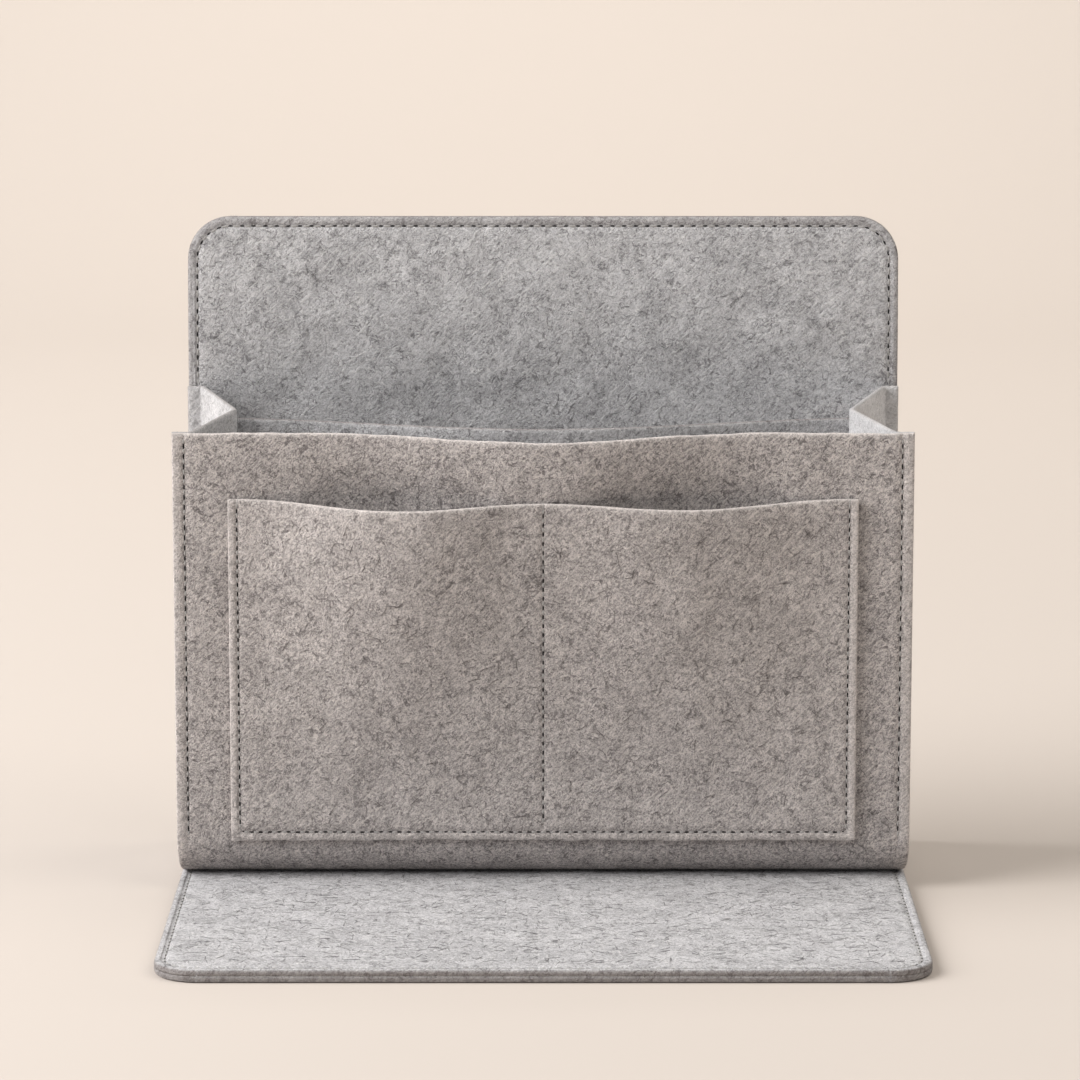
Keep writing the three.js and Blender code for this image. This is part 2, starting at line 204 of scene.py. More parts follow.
# Two faces, each half a thickness from the middle surface plus its relief. Near a cut edge the half
# thickness shrinks along a quarter ellipse, on the sides that are free. A rim of quads, drawn out a
# little in its middle, joins both faces round the border. Fibres stand on what is free, and on the rim
# apart from the sides that are joined to another piece.
def feltSheet(name, a, b, place, edge, relief=(0, 0), free=(1, 1), warm=0, strands=1, margin=0, pale=0,
              joined=(0, 0)):
    worn = 1 - np.clip(edge / feltLook["softEdge" if warm else "roundOver"], 0, 1)
    drawn = (1 - feltLook["edgeShare"]) * (1 - np.sqrt(1 - worn ** 2))
    near = np.stack(place(a, b, (1 - drawn * free[0]) * thick / 2 + relief[0]), -1).reshape(-1, 3)
    far = np.stack(place(a, b, -(1 - drawn * free[1]) * thick / 2 - relief[1]), -1).reshape(-1, 3)
    index = np.arange(a.size).reshape(a.shape)
    quads = gridQuads(index)
    border = np.concatenate([index[0, :-1], index[:-1, -1], index[-1, :0:-1], index[:0:-1, 0]])
    beside = np.concatenate([index[1, :-1], index[:-1, -2], index[-2, :0:-1], index[:0:-1, 1]])
    middle = (near + far) / 2
    outward = middle[border] - middle[beside]
    outward /= np.linalg.norm(outward, axis=1, keepdims=True)
    points = np.concatenate([near, far, middle[border] + outward * feltLook["fray"]])
    ring = 2 * a.size + np.arange(len(border))
    after, ringAfter = np.roll(border, -1), np.roll(ring, -1)
    rim = np.concatenate([np.stack([after, border, ring, ringAfter], -1),
                          np.stack([ringAfter, ring, border + a.size, after + a.size], -1)])
    faces = np.concatenate([quads, quads[:, ::-1] + a.size, rim])

    corners = points[faces]
    spread = np.cross(corners[:, 1], corners[:, 2]) + np.cross(corners[:, 2], corners[:, 3])
    if np.einsum("ij,ij->i", corners[:, 0], spread).sum() <= 0:     # inside out by its volume
        faces = faces[:, ::-1]
    corners = points[faces]
    slopes = np.cross(corners[:, 2] - corners[:, 0], corners[:, 3] - corners[:, 1])
    normals = np.zeros_like(points)
    for corner in range(4):
        np.add.at(normals, faces[:, corner], slopes)
    area = np.linalg.norm(normals, axis=1)
    normals /= area[:, None]

    tall, wide = a.shape[0] - 1, a.shape[1] - 1
    openRim = 1 - np.repeat([0, joined[1], 0, joined[0]], [wide, tall, wide, tall])
    hairy = np.concatenate([np.full(a.size, free[0]), np.full(a.size, free[1]), openRim])
    hairy = hairy * (normals[:, 2] > feltLook["underside"])
    # cut edges get a tone of their own; on the front panel and the patch it is pale, the fuzz of the cut felt
    # together with a painted highlight where the edges catch the lamps
    # on the other pieces it is dark, the felt's own edge tone together with painted shade such as lies on the
    # flap's forward edge
    cut = np.exp(-edge / feltLook["paleWidth" if warm else "cutWidth"])
    cut = np.maximum(cut, margin).reshape(-1)               # margins outside the stitches, darker on the back panel and paler on the front panel and the patch as painted light
    cut = np.concatenate([cut, cut, np.ones(len(border))])
    calm = ((edge > feltLook["calmEdge"]) * strands).reshape(-1)
    calm = np.concatenate([calm, calm, np.zeros(len(border))]) * area / area.mean()
    pick = np.random.default_rng(len(points))
    faces, strand = faces.tolist(), np.zeros(len(points))
    allPoints = [points]
    for look, odds, tone in ((fuzzLook, hairy, 0), (strandLook, hairy * calm, 1)):
        chosen = np.flatnonzero(pick.random(len(points)) < look["share"] * odds)
        hairs, walls, caps = fibres(points[chosen], normals[chosen], look, len(points) + tone)
        faces += (walls + len(strand)).tolist() + (caps + len(strand)).tolist()
        allPoints.append(hairs)
        depth = np.repeat(pick.uniform(feltLook["faintest"], 1, len(chosen)), hairPoints) * tone
        strand = np.concatenate([strand, depth])
        cut = np.concatenate([cut, np.zeros(len(hairs))])
    # a flag marks the front panel and the patch; the material lays the painted light of a warmer tint over
    # them
    return addMesh(name, np.concatenate(allPoints), faces, cutEdge=cut * (1 - warm),
                   paleEdge=np.maximum(cut * warm, pale), strand=strand, warm=np.full(len(strand), warm))


# depth of the groove that a stitch row draws into the felt, a bell curve across the row
def groove(distance, depth=0.55, width=1.0):
    return depth * np.exp(-(distance / width) ** 2)


# felt: mottled and grainy, with dark and pale strokes, its tones mixed one over the other; the last colour is
# painted light, a warmer tint laid over the front panel and the patch
feltColours = {"low": (0.535, 0.532, 0.555, 1), "high": (0.79, 0.785, 0.81, 1),
               "fibre": (0.90, 0.89, 0.89, 1), "shade": (0.13, 0.125, 0.13, 1),
               # the cut colour is the cut edges' own dark tone, deepened as painted shade
               "cut": (0.15, 0.115, 0.10, 1), "warm": (1.0, 0.935, 0.89, 1)}
feltNoise = {"mottle": (70.0, 5.0, 0.65, 0.6), "grain": (1600.0, 3.0, 0.65, 0.3),      # scale, detail,
             "fleck": (290.0, 6.0, 0.74, 0.8), "clump": (130.0, 3.0, 0.6, 0.5)}        # roughness, distortion
feltNap = {"first": ((0.2, -0.72, 0.3), 2.6, 1150.0), "second": ((-0.3, 0.5, -0.5), 3.0, 700.0),
           "darkFirst": ((0.1, 0.35, -0.35), 7.0, 760.0), "darkSecond": ((0.4, -0.9, 0.9), 6.0, 820.0),
           "paleFirst": ((0.2, -0.75, 0.2), 8.0, 800.0), "paleSecond": ((-0.5, 0.2, -0.8), 7.0, 700.0)}
feltStrand = {"darkWide": (105.0, 0.024, 0.77), "darkFine": (165.0, 0.026, 0.13),      # scale, width, shift
              "pale": (120.0, 0.018, 0.31)}
feltRamp = {"mottle": (0.34, 0.66), "fleck": (0.52, 0.68), "clump": (0.45, 0.62), "speckle": (0.38, 0.62),
            "darkFirst": (0.6, 0.68), "darkSecond": (0.61, 0.69), "paleFirst": (0.6, 0.68),
            "paleSecond": (0.62, 0.7), "broken": (0.5, 0.58)}
feltShare = {"grainShade": (0.44, 0.22), "fleck": (0.78, 0.1), "dark": (0.6, 0.12),    # plain, more if warm
             "grainFibre": 0.38, "pale": 0.6, "cutEdge": 0.58, "paleEdge": 0.5, "strand": 0.9,
             "paleStroke": 0.7, "speckle": (0.6, 0.4)}
feltBump = {"strength": 0.9, "distance": 0.0014, "first": 0.45, "second": 0.3, "pale": 0.15}
feltSurface = {"Roughness": 0.95, "Specular IOR Level": 0.1, "Sheen Weight": 0.1, "Sheen Roughness": 0.6}


def newMaterial(name, surface):
    material = bpy.data.materials.new(name)
    material.use_nodes = True
    shader = material.node_tree.nodes["Principled BSDF"]
    for key, value in surface.items():
        shader.inputs[key].default_value = value
    return material, material.node_tree, shader


def feltMaterial(name, colours):
    material, tree, shader = newMaterial(name, feltSurface)

    def node(kind, values=None, **settings):
        made = tree.nodes.new(kind)
        for key, value in settings.items():
            setattr(made, key, value)
        for key, value in (values or {}).items():
            made.inputs[key].default_value = value
        return made

    def feed(socket, value):
        if isinstance(value, (tuple, float, int)):
            socket.default_value = value
        else:
            tree.links.new(value, socket)

    def mixed(factor, first, second, blend="MIX"):
        made = node("ShaderNodeMix", data_type="RGBA", blend_type=blend)
        for socket, value in zip((made.inputs[0], made.inputs[6], made.inputs[7]), (factor, first, second)):
            feed(socket, value)
        return made.outputs[2]

    def ramp(source, low, high):
        made = node("ShaderNodeMapRange", {"From Min": low, "From Max": high},
                    interpolation_type="SMOOTHSTEP")
        feed(made.inputs["Value"], source)
        return made.outputs["Result"]

    def math(operation, first, second):
        made = node("ShaderNodeMath", operation=operation)
        feed(made.inputs[0], first)
        feed(made.inputs[1], second)
        return made.outputs[0]

    def attribute(key):
        return node("ShaderNodeAttribute", attribute_name=key).outputs["Fac"]

    where = node("ShaderNodeTexCoord").outputs["Object"]

    def noise(scale, detail, rough, distortion, vector=where):
        made = node("ShaderNodeTexNoise", {"Scale": scale, "Detail": detail, "Roughness": rough,
                                           "Distortion": distortion})
        feed(made.inputs["Vector"], vector)
        return made.outputs["Fac"]

    # noise drawn out along a tilted direction
    def nap(turn, length, scale):
        mapped = node("ShaderNodeMapping", {"Rotation": turn, "Scale": (length, 1.0, 1.0)},
                      vector_type="TEXTURE")
        feed(mapped.inputs["Vector"], where)
        return noise(scale, 2.0, 0.5, 0.3, mapped.outputs["Vector"])

    # thin curved lines where a noise passes its middle value, broken up by a second noise
    def strands(scale, width, shift):
        mapped = node("ShaderNodeMapping", {"Location": (shift, 2 * shift, 3 * shift)})
        feed(mapped.inputs["Vector"], where)
        moved = mapped.outputs["Vector"]
        line = math("ABSOLUTE", math("SUBTRACT", noise(scale, 2.0, 0.6, 1.5, moved), 0.5), 0.0)
        broken = ramp(noise(1.7 * scale, 2.0, 0.5, 0.0, moved), *feltRamp["broken"])
        return math("MULTIPLY", math("SUBTRACT", 1.0, ramp(line, 0.4 * width, width)), broken)

    warmth = attribute("warm")

    def warmed(plain, more):
        return math("ADD", plain, math("MULTIPLY", warmth, more))

    def patches(key):
        return ramp(noise(*feltNoise[key]), *feltRamp[key])

    # two naps in different directions, whichever is stronger
    def strokes(first, second):
        return math("MAXIMUM", ramp(nap(*feltNap[first]), *feltRamp[first]),
                    ramp(nap(*feltNap[second]), *feltRamp[second]))

    def added(first, share, second, otherShare):
        return math("ADD", math("MULTIPLY", first, share), math("MULTIPLY", second, otherShare))

    grain = noise(*feltNoise["grain"])
    napFirst, napSecond = nap(*feltNap["first"]), nap(*feltNap["second"])
    fleck = patches("fleck")
    darkStrands = math("MAXIMUM", strands(*feltStrand["darkWide"]), strands(*feltStrand["darkFine"]))
    darkStroke = math("MULTIPLY", strokes("darkFirst", "darkSecond"), patches("clump"))
    paleStroke = math("MULTIPLY", strokes("paleFirst", "paleSecond"), feltShare["paleStroke"])
    dark = math("MAXIMUM", darkStroke, darkStrands)
    pale = math("MAXIMUM", paleStroke, strands(*feltStrand["pale"]))

    ground = mixed(patches("mottle"), colours["low"], colours["high"])
    grainShare, napShare = feltShare["speckle"]
    speckle = ramp(added(grain, grainShare, napFirst, napShare), *feltRamp["speckle"])
    tone = mixed(speckle, mixed(warmed(*feltShare["grainShade"]), ground, colours["shade"]),
                 mixed(feltShare["grainFibre"], ground, colours["fibre"]))
    for amount, share, colour in ((fleck, warmed(*feltShare["fleck"]), "shade"),
                                  (dark, warmed(*feltShare["dark"]), "shade"),
                                  (pale, feltShare["pale"], "fibre"),
                                  (attribute("cutEdge"), feltShare["cutEdge"], "cut"),
                                  (attribute("paleEdge"), feltShare["paleEdge"], "fibre"),
                                  (attribute("strand"), feltShare["strand"], "shade")):
        tone = mixed(math("MULTIPLY", amount, share), tone, colours[colour])
    # the front panel and the patch are multiplied by a warmer tint: painted light, as from the lamps and the
    # floor's bounce
    feed(shader.inputs["Base Color"], mixed(warmth, tone, colours["warm"], "MULTIPLY"))

    height = math("ADD", grain, added(napFirst, feltBump["first"], napSecond, feltBump["second"]))
    bump = node("ShaderNodeBump", {"Strength": feltBump["strength"], "Distance": feltBump["distance"]})
    feed(bump.inputs["Height"], math("ADD", height, math("MULTIPLY", pale, feltBump["pale"])))
    feed(shader.inputs["Normal"], bump.outputs["Normal"])
    return material


# thread, and near-black lenses at the needle holes, painted shade where each hole lies in shadow; an
# attribute tells them apart
threadColours = {"thread": (0.42, 0.41, 0.40, 1), "hole": (0.02, 0.019, 0.019, 1)}
threadSurface = {"Roughness": 0.8, "Specular IOR Level": 0.2}


def threadMaterial(name, colours):
    material, tree, shader = newMaterial(name, threadSurface)
    pit = tree.nodes.new("ShaderNodeAttribute")
    pit.attribute_name = "pit"
    tone = tree.nodes.new("ShaderNodeMix")
    tone.data_type = "RGBA"
    tone.inputs[6].default_value = colours["thread"]
    tone.inputs[7].default_value = colours["hole"]
    tree.links.new(pit.outputs["Fac"], tone.inputs[0])
    tree.links.new(tone.outputs[2], shader.inputs["Base Color"])
    return material


feltGrey = feltMaterial("feltGrey", feltColours)
threadGrey = threadMaterial("threadGrey", threadColours)
print("materials", feltGrey.name, threadGrey.name)

cloths = []                                     # felt pieces, each with the stitches sewn on it


def finishFelt(piece, flat, held):
    piece.data.materials.append(feltGrey)
    cloths.append({"piece": piece, "flat": flat, "held": held, "onIt": []})
    print("felt", piece.name, len(piece.data.polygons), "faces")


def sewnOn(piece, cloth):
    for entry in cloths:
        if entry["piece"] == cloth:
            entry["onIt"].append(piece)


# strip: back panel and flap
strip = {"bendOuter": 6.0, "leanHeight": 80, "leanBack": 8, "corner": 19, "closed": 0.12, "wobble": 0.35,
         "lift": 0.3, "settle": 30, "still": 60, "margin": 0.45, "marginEase": 0.8, "foldUp": 8,
         "foldOut": 12, "strandsFrom": 20, "backStrands": 0.15, "close": 12.0, "closeLines": (7.2, 9),
         "columns": 66, "step": 4.5, "bendLines": 9, "cornerLines": 7, "cornerRoom": 2, "seed": 3}
stripMiddle = thick + layerGap / 2
bendY = backFace + 2 * thick + layerGap - strip["bendOuter"]
bendZ = strip["bendOuter"]
bendMiddle = strip["bendOuter"] - stripMiddle
backRun = backTop - bendZ
bendRun = np.pi / 2 * bendMiddle
flapStart = backRun + bendRun
stripRun = flapStart + bendY - flapFront


# Down the leaning back panel, a quarter circle at the fold, then flat forward. Height h is measured
# from the middle of the doubled strip towards the pocket.
def stripPlace(a, b, h):
    z = backTop - b
    above = np.maximum(z - (backTop - strip["leanHeight"]), 0)
    lean = strip["leanBack"] * (above / strip["leanHeight"]) ** 2
    angle = np.clip((b - backRun) / bendMiddle, 0, np.pi / 2)
    forward = np.maximum(b - flapStart, 0)
    radius = bendMiddle - h
    bent = b > backRun
    y = np.where(bent, bendY + radius * np.cos(angle) - forward, backFace + stripMiddle + lean - h)
    return a + 0 * b, y, np.where(bent, bendZ - radius * np.sin(angle), z)


# the same from behind, with the height measured away from the pocket
def stripBehind(a, b, h):
    return stripPlace(a, b, -h)


# half width of the strip, a quarter circle at both ends
def stripHalfAt(b):
    short = np.maximum(strip["corner"] - np.minimum(b, stripRun - b), 0)
    return stripHalf - strip["corner"] + np.sqrt(np.maximum(strip["corner"] ** 2 - short ** 2, 0))


# distance from the outline, a rectangle with quarter-circle corners
def stripEdge(a, b):
    overA = np.abs(a) - (stripHalf - strip["corner"])
    overB = strip["corner"] - np.minimum(b, stripRun - b)
    both = np.hypot(np.maximum(overA, 0), np.maximum(overB, 0))
    over = np.where(np.minimum(overA, overB) > 0, both, np.maximum(overA, overB))
    return np.maximum(strip["corner"] - over, 0)


# one of the two layers, half a layer from the middle; small dents die out at its edge and its fold
def stripLayer(name, sign):
    close = strip["close"]
    offsets = np.unique(np.concatenate([edgeSteps, stripInset + rowSteps, strip["closeLines"], [close]]))
    insideLines = np.linspace(-1, 1, strip["columns"])[1:-1]
    corner = np.linspace(close, strip["corner"] + strip["cornerRoom"], strip["cornerLines"])
    ends = np.unique(np.concatenate([offsets, corner]))
    bendLines = np.linspace(backRun, flapStart, strip["bendLines"])
    bLines = gridLines(0, stripRun, strip["step"], [ends, stripRun - ends, bendLines])
    half = stripHalfAt(bLines)[:, None]
    a = np.concatenate([-half + offsets[None], insideLines[None] * (half - close),
                        half - offsets[None, ::-1]], 1)
    b = np.repeat(bLines[:, None], a.shape[1], 1)
    edge = stripEdge(a, b)
    fromFold = b - backRun - bendRun / 2
    dimple = waves(a, b, strip["seed"])
    dimple = np.where(b > backRun, strip["lift"] * dimple ** 2, dimple)     # the flap only lifts
    wobble = strip["wobble"] * dimple * rise(edge, 0, strip["settle"]) * (1 - hump(fromFold, strip["still"]))
    dent = -groove(edge - stripInset)
    relief = (dent, strip["closed"]) if sign > 0 else (strip["closed"], dent)
    pressed = 1 - rise(edge, stripInset - strip["marginEase"], stripInset)
    strands = np.where(b < backRun, strip["backStrands"], 1) * (np.abs(fromFold) > strip["strandsFrom"])
    return feltSheet(name, a, b, lambda p, q, h: stripPlace(p, q, h + sign * layer / 2 + wobble), edge,
                     relief, (1, 0) if sign > 0 else (0, 1), strands=strands,
                     margin=strip["margin"] * pressed * (b < backRun))


stripInner = stripLayer("stripInner", 1)
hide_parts("back_panel_front_layer", "flap_top_layer")
stripOuter = stripLayer("stripOuter", -1)
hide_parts("back_panel_rear_layer", "flap_bottom_layer")
for piece in (stripInner, stripOuter):
    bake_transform(piece)
    finishFelt(piece, (2 * stripHalf, stripRun), "folded")

# front panel, down to the end of its bend
panel = {"bend": 18, "bulge": 14, "bulgeHalf": 98, "dip": 2.4, "narrow": 0.008, "flare": 0.5, "ragged": 0.25,
         "hollow": 5.0, "hollowHeight": 17, "hollowBelow": 8, "hollowLeft": (-66, 42, 1),
         "hollowRight": (58, 40, 0.8), "marginLeft": 0.4, "marginRight": 0.45, "fade": (-2, 6),
         "strands": 0.35, "strandsAbove": 9, "wobble": 0.5, "settle": 40, "step": 4.5, "bendLines": 13,
         "seed": 5, "raggedWaves": (19, 60, 12)}            # these are seed, longest and shortest
marginFrom = (0.4, 1.4)                         # a margin's tone sets in this far outside its row
panelRun = frontTop - bendTop
panelMiddle = panel["bend"] - thick / 2
panelBend = np.pi / 2 * panelMiddle
panelEnd = panelRun + panelBend


# forward bulge of the top edge, a hump across the width that fades down to the bend
def frontBulge(x, z):
    return panel["bulge"] * hump(x, panel["bulgeHalf"]) * rise(z, bendTop, frontTop)


# soft hollows behind the two mouths, bells across the width and height, none at the top edge
def frontHollow(x, z):
    across = sum(share * np.exp(-((x - middle) / width) ** 2)
                 for middle, width, share in (panel["hollowLeft"], panel["hollowRight"]))
    below = (z - patchTop + panel["hollowBelow"]) / panel["hollowHeight"]
    return panel["hollow"] * across * np.exp(-below ** 2)


# Straight down from a dipped top edge with a forward bulge, then a quarter circle to the base.
def frontPlace(a, b, h):
    ragged = panel["ragged"] * waves(a, 0, *panel["raggedWaves"])
    top = frontTop - panel["dip"] * hump(a, panel["bulgeHalf"]) + ragged
    z = bendTop + (1 - np.minimum(b / panelRun, 1)) * (top - bendTop)
    angle = np.clip((b - panelRun) / panelMiddle, 0, np.pi / 2)
    radius = panelMiddle + h
    bent = b > panelRun
    y = np.where(bent, frontFace + panel["bend"] - radius * np.cos(angle),
                 frontFace + thick / 2 - frontBulge(a, z) + frontHollow(a, z) - h)
    z = np.where(bent, bendTop - radius * np.sin(angle), z)
    return a * (1 - panel["narrow"] * (1 - np.cos(angle))), y, z


panelColumns = gridLines(-frontHalf, frontHalf, panel["step"],
                         [frontHalf - edgeSteps, edgeSteps - frontHalf, seamX + rowSteps, -seamX + rowSteps])
panelRows = gridLines(0, panelEnd, panel["step"],
                      [edgeSteps, np.linspace(panelRun, panelEnd, panel["bendLines"])])
a, b = np.meshgrid(panelColumns, panelRows)
panelEdge = np.minimum(frontHalf - np.abs(a), b)
panelSeam = np.abs(a) - seamX
panelFade = 1 - rise(b, panelRun + panel["fade"][0], panelRun + panel["fade"][1])
panelDent = -groove(panelSeam) * panelFade
panelFlare = panel["flare"] * np.clip(panelSeam / (frontHalf - seamX), 0, 1) * (a > 0)
panelWobble = panel["wobble"] * waves(a, b, panel["seed"]) * rise(panelEdge, 0, panel["settle"]) * panelFade
panelShift = panelFlare * (1 - rise(b, panelRun, panelEnd)) + panelWobble
# the front panel's margins are painted light, paler on the right side than on the left
panelMargin = np.where(a > 0, panel["marginRight"], panel["marginLeft"]) * rise(panelSeam, *marginFrom)
frontPanel = feltSheet("frontPanel", a, b, lambda p, q, h: frontPlace(p, q, h + panelShift), panelEdge,
                       (panelDent, 0 * panelDent), warm=1, margin=panelMargin * panelFade,
                       strands=panel["strands"] * (b < panelRun - panel["strandsAbove"]))
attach(frontPanel, "front")
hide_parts("front_panel")
finishFelt(frontPanel, (2 * frontHalf, panelEnd), "hung")

# base and its flange against the back panel; travel is how far the front slides back
base = {"turn": 2.2, "step": 6, "bendLines": 7, "travel": 62.95, "ease": 0.2}
baseHalf = baseBox[1][0]
baseFront, baseBack = baseBox[0][1], baseBox[1][1]
baseRun = baseBack - thick / 2 - base["turn"] - baseFront
baseTurn = np.pi / 2 * base["turn"]
baseEnd = baseRun + baseTurn + baseBox[1][2] - (baseBottom + thick / 2 + base["turn"])


# Flat to the back, a quarter circle, then straight up.
def basePlace(a, b, h):
    angle = np.clip((b - baseRun) / base["turn"], 0, np.pi / 2)
    radius = base["turn"] - h
    over = np.maximum(b - baseRun - baseTurn, 0)
    y = baseFront + np.minimum(b, baseRun) + radius * np.sin(angle)
    z = baseBottom + thick / 2 + base["turn"] - radius * np.cos(angle) + over
    return a, y, z


baseColumns = gridLines(-baseHalf, baseHalf, base["step"], [baseHalf - edgeSteps, edgeSteps - baseHalf])
baseRows = gridLines(0, baseEnd, base["step"],
                     [np.linspace(baseRun, baseRun + baseTurn, base["bendLines"]), baseEnd - edgeSteps])
a, b = np.meshgrid(baseColumns, baseRows)
basePanel = feltSheet("basePanel", a, b, basePlace, np.minimum(baseHalf - np.abs(a), baseEnd - b), strands=0)
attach(basePanel, "back")
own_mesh(basePanel)
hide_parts("base_panel")
finishFelt(basePanel, (2 * baseHalf, baseEnd), "laid")

# divider panel in front of the back panel
divider = {"bulge": 28, "dip": 1.2, "lapEase": 6.1, "notch": 20, "slant": 2, "wobble": 0.5, "settle": 30,
           "step": 5, "keep": 0.4, "seed": 8}
dividerHalf = dividerBox[1][0]
dividerTop = dividerBox[1][2]
dividerTall = dividerTop - dividerBox[0][2]
lapEnd = baseBox[1][2] + layerGap
lapTop = lapEnd + divider["lapEase"]
notchTop = lapTop + divider["slant"]


# Laps over the base flange at the bottom, then a forward bulge that grows with height.
def dividerPlace(a, b, h):
    z = dividerTop - b
    grown = hump(a, seamX) * rise(z, lapTop, dividerTop)
    lapped = layer * (1 - rise(z, lapEnd, lapTop))
    return a, backFace - layer - lapped - divider["bulge"] * grown + thick / 2 - h, z - divider["dip"] * grown


dividerColumns = gridLines(-dividerHalf, dividerHalf, divider["step"],
                           [dividerHalf - edgeSteps, edgeSteps - dividerHalf])
lapLines = dividerTop - np.array([lapEnd, lapTop, notchTop])
dividerRows = gridLines(0, dividerTall, divider["step"], [edgeSteps, dividerTall - edgeSteps, lapLines])
a, b = np.meshgrid(dividerColumns, dividerRows)
notched = dividerHalf - divider["notch"] * (1 - np.clip((dividerTop - b - lapTop) / divider["slant"], 0, 1))
a = a * notched / dividerHalf
dividerEdge = np.minimum(notched - np.abs(a), np.minimum(b, dividerTall - b))
dividerWobble = divider["wobble"] * waves(a, b, divider["seed"]) * rise(dividerEdge, 0, divider["settle"])
dividerPanel = feltSheet("dividerPanel", a, b, lambda p, q, h: dividerPlace(p, q, h + dividerWobble),
                         dividerEdge)
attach(dividerPanel, "back")
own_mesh(dividerPanel)
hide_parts("divider_panel")
finishFelt(dividerPanel, (2 * dividerHalf, dividerTall), "hung")

# patch pocket with two mouths
patch = {"inset": 4, "leftBulge": 16, "rightBulge": 12, "dip": 2.5, "flare": 0.5, "ragged": 0.4,
         "raggedOver": 8, "marginLeft": 0.5, "marginRight": 0.7, "marginLow": 0.35, "pale": 0.1,
         "strands": 0.35, "wobble": 0.4, "settle": 25, "settleMiddle": 20, "step": 4, "seed": 13,
         "raggedWaves": (21, 70, 12)}
patchTall = patchTop - patchBottom
patchRowB = patchTall - patch["inset"]          # the low row, counted down from the top edge
halfMouth = patchRowX / 2


# The front panel's surface plus one layer, with a forward hump and a dip between its stitch rows.
def patchPlace(a, b, h):
    low = rise(b, patchTall - patch["raggedOver"], patchTall)
    z = patchTop - b + patch["ragged"] * waves(a, 0, *patch["raggedWaves"]) * low
    left, right = hump(a + halfMouth, halfMouth), hump(a - halfMouth, halfMouth)
    grown = rise(z, patchBottom + patch["inset"], patchTop)
    forward = (patch["leftBulge"] * left + patch["rightBulge"] * right) * grown
    y = frontFace - frontBulge(a, z) - layer - forward + thick / 2 - h
    return a, y, z - patch["dip"] * (left + right) * grown


patchColumns = gridLines(-patchHalf, patchHalf, patch["step"],
                         [patchHalf - edgeSteps, edgeSteps - patchHalf, patchRowX + rowSteps,
                          -patchRowX + rowSteps, rowSteps])
patchRows = gridLines(0, patchTall, patch["step"], [edgeSteps, patchTall - edgeSteps, patchRowB + rowSteps])
a, b = np.meshgrid(patchColumns, patchRows)
patchSide, patchLow = np.abs(a) - patchRowX, b - patchRowB
patchEdge = np.minimum(patchHalf - np.abs(a), np.minimum(b, patchTall - b))
sewn = np.maximum(patchSide, patchLow)          # below 0 inside the edge row
patchDent = -np.maximum(groove(sewn), groove(a) * (patchLow < 0))
patchFlare = patch["flare"] * np.clip(patchSide / patch["inset"], 0, 1) * (a > 0)
patchWobble = patch["wobble"] * waves(a, b, patch["seed"]) * rise(-sewn, 0, patch["settle"])
patchShift = patchFlare + patchWobble * rise(np.abs(a), 0, patch["settleMiddle"])
# the patch's side margins are painted light, paler on the right side; its low margin is paler too
patchMargin = np.where(a > 0, patch["marginRight"], patch["marginLeft"]) * rise(patchSide, *marginFrom)
patchMargin = np.maximum(patchMargin, patch["marginLow"] * rise(patchLow, *marginFrom))
patchPanel = feltSheet("patchPanel", a, b, lambda p, q, h: patchPlace(p, q, h + patchShift), patchEdge,
                       (patchDent, 0 * patchDent), warm=1, strands=patch["strands"], margin=patchMargin,
                       pale=patch["pale"])
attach(patchPanel, "front")
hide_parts("patch_pocket_panel")
finishFelt(patchPanel, (2 * patchHalf, patchTall), "hung")

# gussets: one path in plan per side, cut into three pieces at the middle of each half
gusset = {"bend": 1.6, "step": 5, "foldReach": 16.7, "frontRise": 11, "riseEase": 0.5, "reach": 5,
          "skive": 1.7, "skiveRun": 3, "paleLeft": 0.45, "paleRight": 0.8, "joinStep": 0.06,
          "bendLines": 9}
foldX = hingeX - gusset["foldReach"]
frontSeamY = -rearSeamY
gussetDepth = rearSeamY - frontSeamY
gussetTall = gussetRearTop - gussetBottom
gussetSlope = (frontTop - gussetRearTop) / gussetDepth


# A polyline with its corners rounded by parabolas, given by arc length.
def roundedPath(corners, radius, count=15):
    parts = [corners[:1]]
    for before, corner, after in zip(corners[:-2], corners[1:-1], corners[2:]):
        into = corner + (before - corner) / np.linalg.norm(before - corner) * radius
        out = corner + (after - corner) / np.linalg.norm(after - corner) * radius
        t = np.linspace(0, 1, count)[:, None]
        parts.append((1 - t) ** 2 * into + 2 * t * (1 - t) * corner + t ** 2 * out)
    path = np.concatenate(parts + [corners[-1:]])
    length = np.concatenate([[0], np.cumsum(np.linalg.norm(np.diff(path, axis=0), axis=1))])
    return path, length


